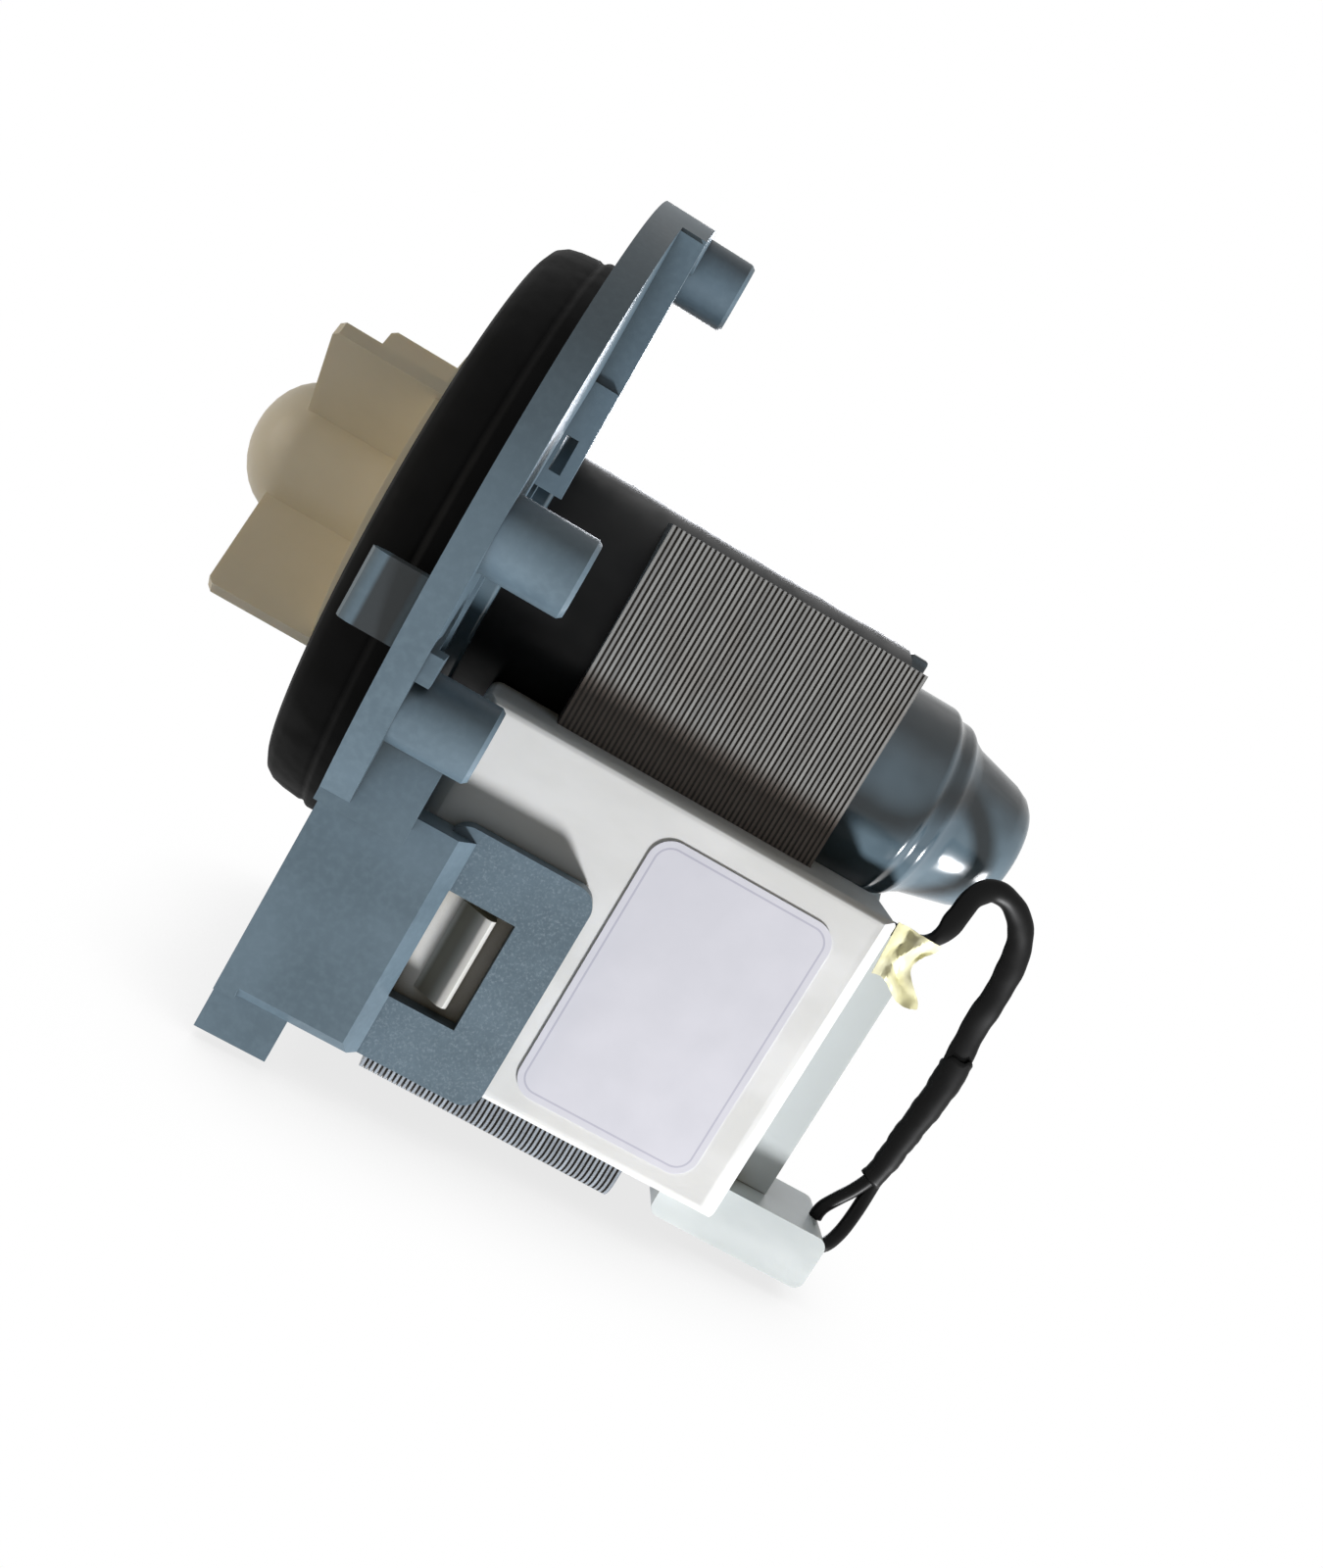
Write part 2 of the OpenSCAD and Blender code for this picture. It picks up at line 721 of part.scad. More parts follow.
module blade_set(z1, z2) {
    y = plug_near + plug_w / 2;
    for (x = [plug_x + 4, plug_end - 12])
        block([x, y - blade_t / 2, z1], [x + blade_w, y + blade_t / 2, z2]);
}

module connector_blades() {
    color("#c7c2a8") blade_set(-plug_bottom + 0.8, -cover_bottom);
}

// Tube swept along a list of points, with one ring across the route at each point
function unit(v) = v / norm(v);
function heading(p, i) = unit(p[min(i + 1, len(p) - 1)] - p[max(i - 1, 0)]);
function side_of(t) = unit(cross([0, 1, 0], t));
module swept_tube(p, d, sides) {
    n = len(p);
    rings = [for (i = [0 : n - 1]) let (t = heading(p, i), u = side_of(t), w = cross(t, u))
        for (k = [0 : sides - 1]) p[i] + d / 2 * (cos(360 * k / sides) * u + sin(360 * k / sides) * w)];
    walls = [for (i = [0 : n - 2], k = [0 : sides - 1])
        let (a = i * sides + k, b = i * sides + (k + 1) % sides)
            each [[a, a + sides, b], [b, a + sides, b + sides]]];
    start = [for (k = [1 : sides - 2]) [0, k, k + 1]];
    end = [for (k = [1 : sides - 2]) (n - 1) * sides * [1, 1, 1] + [0, k + 1, k]];
    polyhedron(rings, concat(walls, start, end), convexity = 6);
}

module lead() {
    color("#101010") swept_tube(LEAD, lead_d, 8);
}

front_flange();
flange_drum();
near_latch_arm();
far_latch_arm();
gasket();
rotor_well();
well_sleeve();
o_ring();
shaft_seal();
front_bearing_holder();
front_bearing_mount();
front_bush();
rear_bearing_mount();
rear_bush();
shaft();
magnet();
magnet_carrier();
thrust_washers();
drive_dog();
impeller();
impeller_cap();
stator_core();
coil_cover();
label();
near_bobbin();
far_bobbin();
near_winding();
far_winding();
thermal_cutout();
coil_pins();
insulation_tape();
connector_housing();
connector_blades();
lead();
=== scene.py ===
# %% [markdown]
# A washer drain pump, dressed for a product picture.
# The frame is the engineer's model of the pump, at its real size in metres. Its origin lies on the shaft,
# in the front face of the mounting flange. X runs along the shaft and away from the impeller, and Z points
# from the yoke of the motor's core up to the rotor.
# Everything made here rides on a body of that frame, so that it turns when the pump turns.

# %% Load the frame
import math
import random

import bmesh
import bpy
from mathutils import Matrix, Vector


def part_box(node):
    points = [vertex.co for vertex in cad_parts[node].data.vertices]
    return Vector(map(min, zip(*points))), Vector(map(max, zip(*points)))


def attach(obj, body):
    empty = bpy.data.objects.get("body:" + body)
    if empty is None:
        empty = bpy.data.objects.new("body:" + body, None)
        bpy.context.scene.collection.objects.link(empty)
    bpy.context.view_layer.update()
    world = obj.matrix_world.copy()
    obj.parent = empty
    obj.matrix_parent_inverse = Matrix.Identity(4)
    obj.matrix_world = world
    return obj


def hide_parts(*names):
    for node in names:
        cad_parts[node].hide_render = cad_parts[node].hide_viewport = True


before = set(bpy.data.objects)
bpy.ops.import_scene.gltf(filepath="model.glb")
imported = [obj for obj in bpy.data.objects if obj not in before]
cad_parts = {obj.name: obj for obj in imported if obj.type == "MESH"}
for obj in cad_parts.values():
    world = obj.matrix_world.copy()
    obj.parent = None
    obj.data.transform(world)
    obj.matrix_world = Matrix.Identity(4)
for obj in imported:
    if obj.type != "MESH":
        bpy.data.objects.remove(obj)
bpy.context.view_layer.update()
MM = 0.001

# %% [markdown]
# The camera stands close to the pump's side, a little above the shaft and level with the flange, so it sees
# the flange almost on edge. The picture is rolled, which makes the shaft run down to the right.
# A position, two turns and a roll say all that, and they read more easily than a matrix.

# %% Camera
camera_at = Vector((10.8, -191.8, 13.5)) * MM
camera_pan = math.radians(7.5)       # towards the motor's rear end
camera_tilt = math.radians(-8.2)     # a little downwards
camera_roll = math.radians(30.8)
lens_mm, sensor_mm = 33.7, 36

camera_data = bpy.data.cameras.new("camera")
camera_data.lens = lens_mm
camera_data.sensor_width = sensor_mm
camera = bpy.data.objects.new("camera", camera_data)
bpy.context.scene.collection.objects.link(camera)
camera.matrix_world = (
    Matrix.Translation(camera_at)
    @ Matrix.Rotation(-camera_pan, 4, "Z")
    @ Matrix.Rotation(math.radians(90) + camera_tilt, 4, "X")
    @ Matrix.Rotation(camera_roll, 4, "Z")
)
bpy.context.scene.camera = camera
bpy.context.scene.view_settings.view_transform = "Standard"
print("Camera", round(camera_at.length / MM), "mm from the origin, lens", lens_mm, "mm")

# %% [markdown]
# The free lead comes next, because its route decides whether the frame still fits the picture. On the real
# pump two thin wires lie side by side in a soft flat sleeve. They leave the case under the tape, rise in an
# arch and hang down to the connector. The route repeats the points of the engineer's model. A cubic spline
# joins them, of the kind that passes through every point that it is given.

# %% Route of the lead
LEAD_POINTS_MM = [
    (66, -21.6, -12.6), (68.6, -21.6, -12.6), (71, -21.3, -12), (72.6, -20.6, -10.2), (73.3, -19.8, -7.6),
    (74, -18.8, -4.8), (75.8, -17.8, -3), (78.2, -17, -2.8), (80.8, -16.4, -3.9), (82.9, -15.8, -6),
    (84.2, -15.3, -9), (84.8, -15, -12.4), (85, -14.8, -15.6), (85, -14.6, -19), (85.4, -14.4, -22.6),
    (85.8, -14.4, -26.2), (85.8, -14.4, -30), (85.5, -14.4, -33.8), (85.2, -14.4, -37.4),
    (85, -14.4, -40.6), (84.5, -14.4, -43.6), (83.4, -14.4, -46.2), (82.2, -14.4, -48.2),
    (81.2, -14.4, -50), (80.9, -14.4, -51.1), (80.9, -14.4, -52)]


def through(points_mm, steps=6):
    """A smooth path in metres through points in millimetres."""
    points = [Vector(p) * MM for p in points_mm]
    points = [2 * points[0] - points[1]] + points + [2 * points[-1] - points[-2]]
    path = []
    for a, b, c, d in zip(points, points[1:], points[2:], points[3:]):
        for i in range(steps):
            u = i / steps
            path.append(0.5 * (2 * b + (c - a) * u + (2 * a - 5 * b + 4 * c - d) * u * u
                               + (3 * b - 3 * c + d - a) * u * u * u))
    return path + [points[-2]]


def distances(path):
    """How far along the path each of its points lies, in millimetres."""
    along = [0.0]
    for a, b in zip(path, path[1:]):
        along.append(along[-1] + (b - a).length / MM)
    return along


lead_path = through(LEAD_POINTS_MM)
lead_along = distances(lead_path)
lead_mm = lead_along[-1]
print("The lead is", round(lead_mm, 1), "mm long")

# %% [markdown]
# The sleeve starts on edge and then turns its broad side to the viewer. A curve with a round bevel can't turn
# like that, so a tube is built ring by ring. Each ring is an ellipse with two radii and a turn, and both ends
# of the tube are closed with a face. The same two functions make the sleeve, the outer sleeve and the wire.

# %% Rings along a path
RING = 20


def between(value, low, high):
    """0 below low, 1 above high and a smooth step from one to the other."""
    u = min(max((value - low) / (high - low), 0.0), 1.0)
    return u * u * (3 - 2 * u)


def ring_points(path, i, broad_mm, thin_mm, turn_deg, shift=None):
    """One elliptical ring. Its broad radius lies in the XZ plane where the turn is 0."""
    ahead = (path[min(i + 1, len(path) - 1)] - path[max(i - 1, 0)]).normalized()
    flat = Vector((0, 1, 0)).cross(ahead).normalized()
    deep = ahead.cross(flat)
    turn = math.radians(turn_deg)
    wide = flat * math.cos(turn) + deep * math.sin(turn)
    high = deep * math.cos(turn) - flat * math.sin(turn)
    points = []
    for j in range(RING):
        angle = 2 * math.pi * j / RING
        point = path[i] + (wide * math.cos(angle) * broad_mm + high * math.sin(angle) * thin_mm) * MM
        if shift:
            point = point + ahead * shift[j] * MM
        points.append(point)
    return points


def tube_from_rings(name, rings):
    """A closed tube through the rings, each a list of points."""
    mesh = bpy.data.meshes.new(name)
    made = bmesh.new()
    rows = [[made.verts.new(p) for p in ring] for ring in rings]
    for low, high in zip(rows, rows[1:]):
        for j in range(RING):
            k = (j + 1) % RING
            made.faces.new((low[j], low[k], high[k], high[j]))
    made.faces.new(list(reversed(rows[0])))
    made.faces.new(rows[-1])
    bmesh.ops.recalc_face_normals(made, faces=made.faces)
    for face in made.faces:
        face.smooth = True
    made.to_mesh(mesh)
    made.free()
    piece = bpy.data.objects.new(name, mesh)
    bpy.context.scene.collection.objects.link(piece)
    print(name, "has", len(mesh.polygons), "faces")
    return piece


# %% [markdown]
# The sleeve is 3 mm broad and 1.7 mm thick where it leaves the case. It is a little broader on the way down
# and shrinks to one wire for its last stretch, and slow waves along it keep it from looking extruded.

# %% Sleeve of the lead
sleeve_broad_mm, sleeve_thin_mm = 1.5, 0.85        # radii of the ellipse
broader_mm, broader_from, broader_to = 0.35, 20, 28
wire_broad_mm, wire_thin_mm, wire_last_mm, shrinks_in_mm = 0.95, 0.85, 16, 5
on_edge_deg, turn_from, turn_to = 80, 3, 11

rings = []
for i, s in enumerate(lead_along):
    swell = 0.06 * math.sin(s * 0.9) + 0.03 * math.sin(s * 2.1 + 1)
    broad = sleeve_broad_mm + broader_mm * between(s, broader_from, broader_to) + swell
    thin = sleeve_thin_mm + 0.03 * math.sin(s * 1.1)
    shrunk = between(wire_last_mm - (lead_mm - s), 0, shrinks_in_mm)
    broad = broad + (wire_broad_mm - broad) * shrunk
    thin = thin + (wire_thin_mm - thin) * shrunk
    rings.append(ring_points(lead_path, i, broad, thin, on_edge_deg * (1 - between(s, turn_from, turn_to))))
lead_tube = tube_from_rings("lead_tube", rings)

# %% [markdown]
# A wider sleeve was pushed over the lower half, and its top end is ragged. It is made as a wall with two
# sides: rings run up its outside and come back a few steps down its inside. Near the top each point slides
# along the route by an amount of its own, drawn once with a fixed seed so that every run looks the same.

# %% Outer sleeve
outer_top_z, outer_low_z = -24.4 * MM, -44.2 * MM
outer_broad_mm, outer_thin_mm = 2.15, 1.3          # radii at the top end
narrows_mm, thins_mm = 0.6, 0.15                   # how much smaller they are at the low end
lining_broad_mm, lining_thin_mm, lining_steps, closes_mm = 1.92, 1.07, 8, 0.02

outer_span = [i for i, p in enumerate(lead_path) if outer_low_z < p.z < outer_top_z]
ragged = random.Random(7)
edge = [0.9 * ragged.random() - 0.7 * math.sin(2 * math.pi * j / RING + 0.6) for j in range(RING)]
rings = []
for i in reversed(outer_span):
    share = (i - outer_span[0]) / (outer_span[-1] - outer_span[0])
    crease = 0.07 * math.sin(i * 0.9) + 0.04 * math.sin(i * 2.1)
    fade = between(1 - share, 0.75, 1.0)
    rings.append(ring_points(lead_path, i, outer_broad_mm - narrows_mm * share + crease,
                             outer_thin_mm - thins_mm * share, 0, [-e * fade for e in edge]))
for step, i in enumerate(outer_span[:lining_steps]):
    fade = 1 - step / lining_steps
    rings.append(ring_points(lead_path, i, lining_broad_mm - closes_mm * step,
                             lining_thin_mm - closes_mm * step, 0, [-e * fade for e in edge]))
outer_sleeve = tube_from_rings("lead_outer_sleeve", rings)

# %% [markdown]
# The second wire comes out under the outer sleeve and goes into the connector beside the first.

# %% Second wire
SECOND_WIRE_POINTS_MM = [
    (84.9, -14.2, -38.6), (85.2, -13.9, -42), (85.3, -14.1, -45.5), (85.0, -14.9, -48.8),
    (84.2, -16.2, -51.6), (82.9, -17.4, -53.5), (81.2, -17.8, -54.3)]

second_broad_mm, second_thin_mm = 0.98, 0.85

wire_path = through(SECOND_WIRE_POINTS_MM)
rings = [ring_points(wire_path, i, second_broad_mm, second_thin_mm, 0) for i in range(len(wire_path))]
second_wire = tube_from_rings("lead_second_wire", rings)

# %% [markdown]
# Colours are written as sRGB hex, as a paint chart gives them, and Blender works in linear light, so one
# function turns one into the other. Another adds any shader node with its settings and links, which keeps
# each material below down to a few lines.

# %% Colours and nodes
def linear(hex_colour):
    """An sRGB hex colour such as "#66727c" as linear RGBA."""
    values = [int(hex_colour[i:i + 2], 16) / 255 for i in (1, 3, 5)]
    return [v / 12.92 if v <= 0.04045 else ((v + 0.055) / 1.055) ** 2.4 for v in values] + [1.0]


def give(tree, node, inputs):
    """Sets each input of a node to a value, or links it to another node's output."""
    for name, value in inputs.items():
        if isinstance(value, bpy.types.NodeSocket):
            tree.links.new(value, node.inputs[name])
        else:
            node.inputs[name].default_value = value


def add(tree, kind, inputs, output=None, **settings):
    """Adds a shader node with its settings and inputs. Returns the output asked for, or else the node."""
    made = tree.nodes.new("ShaderNode" + kind)
    for name, value in settings.items():
        setattr(made, name, value)
    give(tree, made, inputs)
    return made if output is None else made.outputs[output]


def per_mm(size_mm):
    """Texture scale on Object coordinates, which are metres, for a pattern of that size."""
    return 1 / (size_mm * MM)


def new_material(name):
    """A material with only a Principled shader, its tree, the shader and Object coordinates."""
    made = bpy.data.materials.new(name)
    made.use_nodes = True
    tree = made.node_tree
    return made, tree, tree.nodes["Principled BSDF"], add(tree, "TexCoord", {}, "Object")


# %% [markdown]
# Two recipes are built from that function, because every material needs them. One lays a tint over a colour
# where a pattern is strong, as dust, rust and shade do on real surfaces. The other gives the shader its
# colour, its roughness and its relief.

# %% Tint and dress a surface
FACTOR, UNDER, OVER, MIXED = 0, 6, 7, 2     # sockets of a Mix node for colours, whose names aren't unique


def tint(tree, under, over, pattern, low, high, start=0.0, end=1.0, where=None):
    """One colour laid over another. Its share goes smoothly from start to end as pattern goes from low
    to high, and is multiplied by the mask where."""
    share = add(tree, "MapRange", {"Value": pattern, "From Min": low, "From Max": high,
                                   "To Min": start, "To Max": end},
                "Result", interpolation_type="SMOOTHSTEP")
    if where is not None:
        share = add(tree, "Math", {0: share, 1: where}, 0, operation="MULTIPLY")
    return add(tree, "Mix", {FACTOR: share, UNDER: under, OVER: over}, MIXED, data_type="RGBA")


def dress(tree, shader, colour, roughness, relief, same_all_over):
    """Gives the shader its colour, roughness and relief, and the values that are the same all over.

    roughness is a pattern, the low and high end of what counts in it, and the roughness at each.
    relief is a height from 0 to 1, how strongly it shows and the depth in millimetres that it stands for."""
    pattern, low, high, smoothest, dullest = roughness
    height, strength, depth_mm = relief
    give(tree, shader, {
        "Base Color": colour,
        "Roughness": add(tree, "MapRange", {"Value": pattern, "From Min": low, "From Max": high,
                                            "To Min": smoothest, "To Max": dullest},
                         "Result", interpolation_type="SMOOTHSTEP"),
        "Normal": add(tree, "Bump", {"Height": height, "Strength": strength, "Distance": depth_mm * MM},
                      "Normal")})
    give(tree, shader, same_all_over)


def tell(*materials):
    """Prints each material's name and how many nodes it has."""
    for made in materials:
        print(made.name, "has", len(made.node_tree.nodes), "nodes")


# %% [markdown]
# The flange is polypropylene, filled and coloured blue-grey in the mass, and moulded in a tool with a fine
# matt skin. The eye sees a soft sheen, faint clouds where the filler flowed, and pale specks in the coarse
# spark-eroded texture of the latch plates. Its inner corners are dark with painted shade. Clouds and skin
# are noise, the painted shade in the corners comes from Ambient Occlusion, and the specks are a finer noise
# that is masked to the plates by their place on the part. The locating lug's body lies in deep shade beside
# the gasket, and a painted shadow darkens it, masked by its place the same way.

# %% Flange plastic
filler_cloud_mm = 14
tool_skin_mm = 0.9                   # the real skin is finer, and is drawn this coarse so that it shows
spark_grit_mm = 0.35                 # drawn about twice as coarse as it is, for the same reason
latch_skin_y = 29.3 * MM             # the latch plates' outer skins stand this far from the middle
latch_start_x = 17.7 * MM
lug_nose_x = -6.5 * MM
lug_from_y = 40 * MM


def filled_polypropylene():
    made, tree, shader, place = new_material("polypropylene_filled_matt_moulded")
    cloud = add(tree, "TexNoise", {"Vector": place, "Scale": per_mm(filler_cloud_mm), "Detail": 3.0}, "Fac")
    fine = add(tree, "TexNoise", {"Vector": place, "Scale": per_mm(tool_skin_mm), "Detail": 2.0}, "Fac")
    grit = add(tree, "TexNoise", {"Vector": place, "Scale": per_mm(spark_grit_mm), "Detail": 3.0,
                                  "Roughness": 0.7}, "Fac")
    corner_shade = add(tree, "AmbientOcclusion", {"Distance": 8 * MM}, "AO", samples=8)

    axes = add(tree, "SeparateXYZ", {"Vector": place})
    side = add(tree, "Math", {0: axes.outputs["Y"]}, 0, operation="ABSOLUTE")
    outer = add(tree, "Math", {0: side, 1: latch_skin_y}, 0, operation="GREATER_THAN")
    behind = add(tree, "Math", {0: axes.outputs["X"], 1: latch_start_x}, 0, operation="GREATER_THAN")
    plate = add(tree, "Math", {0: outer, 1: behind}, 0, operation="MULTIPLY")
    behind_nose = add(tree, "MapRange", {"Value": axes.outputs["X"], "From Min": lug_nose_x + 1.7 * MM,
                                         "From Max": lug_nose_x + 2.3 * MM},
                      "Result", interpolation_type="SMOOTHSTEP")
    far_out = add(tree, "Math", {0: side, 1: lug_from_y}, 0, operation="GREATER_THAN")
    lug_painted_shadow = add(tree, "Math", {0: behind_nose, 1: far_out}, 0, operation="MULTIPLY")

    colour = tint(tree, linear("#4e5f6a"), linear("#5a6c78"), cloud, 0.3, 0.7)
    colour = tint(tree, colour, linear("#6c7f8a"), fine, 0.35, 0.8, 0.0, 0.25)
    # painted shade in the inner corners, from Ambient Occlusion
    colour = tint(tree, colour, linear("#20282a"), corner_shade, 0.25, 0.86, 0.9, 0.0)
    colour = tint(tree, colour, linear("#93a2ab"), grit, 0.46, 0.78, 0.0, 0.42, where=plate)
    # painted shadow on the locating lug's body, which lies in deep shade beside the gasket
    colour = tint(tree, colour, linear("#1d2021"), axes.outputs["X"], -1.2 * MM, -0.4 * MM, 0.92, 0.0,
                  where=lug_painted_shadow)
    coarse = add(tree, "Math", {0: grit, 1: plate}, 0, operation="MULTIPLY")
    height = add(tree, "Math", {0: fine, 1: 0.35, 2: coarse}, 0, operation="MULTIPLY_ADD")
    dress(tree, shader, colour, (cloud, 0.2, 0.8, 0.40, 0.52), (height, 0.5, 0.05), {"IOR": 1.49})
    return made


flange_plastic = filled_polypropylene()
tell(flange_plastic)

# %% [markdown]
# The rotor well is the same blue-grey, but its tool is polished, so it shines like glazed crockery and shows
# the white case below it. Low roughness does that, with a slow wave in the surface where the thick tube
# sank a little as it cooled.

# %% Well plastic
def glossy_polypropylene():
    made, tree, shader, place = new_material("polypropylene_glossy_moulded")
    cloud = add(tree, "TexNoise", {"Vector": place, "Scale": per_mm(9), "Detail": 2.0}, "Fac")
    wave = add(tree, "TexNoise", {"Vector": place, "Scale": per_mm(6), "Detail": 1.0}, "Fac")
    colour = tint(tree, linear("#4b5b65"), linear("#586973"), cloud, 0.3, 0.7)
    dress(tree, shader, colour, (cloud, 0.2, 0.8, 0.14, 0.24), (wave, 0.6, 0.35), {"IOR": 1.5})
    return made


well_plastic = glossy_polypropylene()
tell(well_plastic)

# %% [markdown]
# The coil case, the connector and the bobbins are glass-filled thermoplastics in off-white. They are satin,
# let a little light in, and show faint warm streaks along the flow of the melt, which is noise stretched that
# way. A touch of subsurface light keeps their edges from looking like plaster, and their inner corners get a
# warm painted shade from Ambient Occlusion. The case's rear wall, which faces the main lamp, gets a painted
# shade of cooler, darker grey. Its snap catches stand in the shade of the latch plates' windows, and that
# shade is painted on them, darker at their root than at the ridge that reaches the light.

# %% White plastics
case_rear_x = 65.9 * MM
case_side = -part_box("label")[1].y            # the label lies on the case's near side
catch_ridge = -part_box("coil_cover")[0].y     # the snap catches are what stands out furthest


def satin_white(name, deep, pale, roughness, flow_axis_scale, is_case=False):
    made, tree, shader, place = new_material(name)
    stretched = add(tree, "Mapping", {"Vector": place, "Scale": flow_axis_scale}, "Vector")
    flow = add(tree, "TexNoise", {"Vector": stretched, "Scale": per_mm(8), "Detail": 4.0}, "Fac")
    fine = add(tree, "TexNoise", {"Vector": place, "Scale": per_mm(0.7), "Detail": 2.0}, "Fac")
    corner_shade = add(tree, "AmbientOcclusion", {"Distance": 7 * MM}, "AO", samples=8)
    colour = tint(tree, linear(deep), linear(pale), flow, 0.3, 0.7)
    if is_case:
        axes = add(tree, "SeparateXYZ", {"Vector": place})
        # painted shade: the rear wall, which faces the main lamp, is a darker, cooler grey
        colour = tint(tree, colour, linear("#b9bebe"), axes.outputs["X"],
                      case_rear_x - 0.1 * MM, case_rear_x + 0.1 * MM)
        # painted shade on the snap catches, darker at their root than at their ridge
        side = add(tree, "Math", {0: axes.outputs["Y"]}, 0, operation="ABSOLUTE")
        catch_shade_share = add(tree, "MapRange", {"Value": side, "From Min": catch_ridge - 1.2 * MM,
                                             "From Max": catch_ridge, "To Min": 0.85, "To Max": 0.3},
                          "Result", interpolation_type="SMOOTHSTEP")
        colour = tint(tree, colour, linear("#6b6450"), side, case_side + 0.1 * MM, case_side + 0.6 * MM,
                      where=catch_shade_share)
    # warm painted shade in the inner corners, from Ambient Occlusion
    colour = tint(tree, colour, linear("#8d8268"), corner_shade, 0.12, 0.6, 1.0, 0.0)
    dress(tree, shader, colour, (flow, 0.3, 0.8, roughness - 0.05, roughness + 0.06), (fine, 0.35, 0.02),
          {"Subsurface Weight": 0.12, "Subsurface Radius": (0.9, 0.8, 0.6), "Subsurface Scale": 1.2 * MM,
           "IOR": 1.55})
    return made


case_plastic = satin_white("polyester_glass_filled_satin", "#d8d8d6", "#e3e3e2", 0.42, (0.4, 1, 1), True)
connector_plastic = satin_white("polyamide_white_satin", "#c1c7c7", "#cfd4d4", 0.36, (0.4, 1, 1))
bobbin_plastic = satin_white("polyamide_bobbin_satin", "#dad9d2", "#e4e3dd", 0.45, (1, 1, 0.4))
tell(case_plastic, connector_plastic, bobbin_plastic)

# %% [markdown]
# Rubber and the shrunk film of the lead are nearly black and dull. Their skin shows fine turning lines from
# the mould, which a Wave texture draws, and patches of dust that lighten it.

# %% Rubbers
WAVE_RADIANS = 20     # how many radians a Wave texture of scale 1 turns in a metre


def moulded_rubber(name, clean, dusty, roughness, radian_mm, gloss):
    """radian_mm is one radian of the mould's rings, so the rings lie about six times as far apart."""
    made, tree, shader, place = new_material(name)
    dust = add(tree, "TexNoise", {"Vector": place, "Scale": per_mm(3), "Detail": 5.0}, "Fac")
    turned = add(tree, "TexWave", {"Vector": place, "Scale": per_mm(radian_mm) / WAVE_RADIANS,
                                   "Distortion": 0.4}, "Fac", bands_direction="X")
    colour = tint(tree, linear(clean), linear(dusty), dust, 0.45, 0.9, 0.0, 0.35)
    dress(tree, shader, colour, (dust, 0.3, 0.8, roughness, roughness + 0.12), (turned, 0.25, 0.04),
          {"Specular IOR Level": gloss, "IOR": 1.52})
    return made


gasket_rubber = moulded_rubber("rubber_gasket_moulded", "#050505", "#171817", 0.6, 0.5, 0.07)
sleeve_rubber = moulded_rubber("rubber_sleeve_smooth", "#0d0e0f", "#1c1e1f", 0.34, 2.5, 0.16)
mount_rubber = moulded_rubber("rubber_mount_moulded", "#1a1a1a", "#333333", 0.55, 1.0, 0.3)
lead_film = moulded_rubber("polyolefin_sleeve_shrunk", "#050505", "#0d0d0d", 0.36, 1.2, 0.12)
tell(gasket_rubber, sleeve_rubber, mount_rubber, lead_film)

# %% [markdown]
# The core is a stack of punched electrical sheets. Each sheet's cut edge is bare steel, burnished by the
# punch and then torn, so the edges glint unevenly and rust a little. The sheets and the grooves between them
# are in the frame's own mesh. The material counts them from the core's front end, gives each a tone of its
# own and paints shade into the grooves, but not onto the outer faces of the first and the last sheet. A
# painted brown shadow darkens the legs just above the case and draws the case's cast shadow higher, and the
# yoke below the case is a cooler grey without it.

# %% Electrical steel
sheet_pitch_mm = 0.65
edge_middle = 0.35                   # the middle of a sheet's edge, as a share of the pitch
bare_end_mm = 0.03                   # nearer than this to an end of the core, nothing is groove


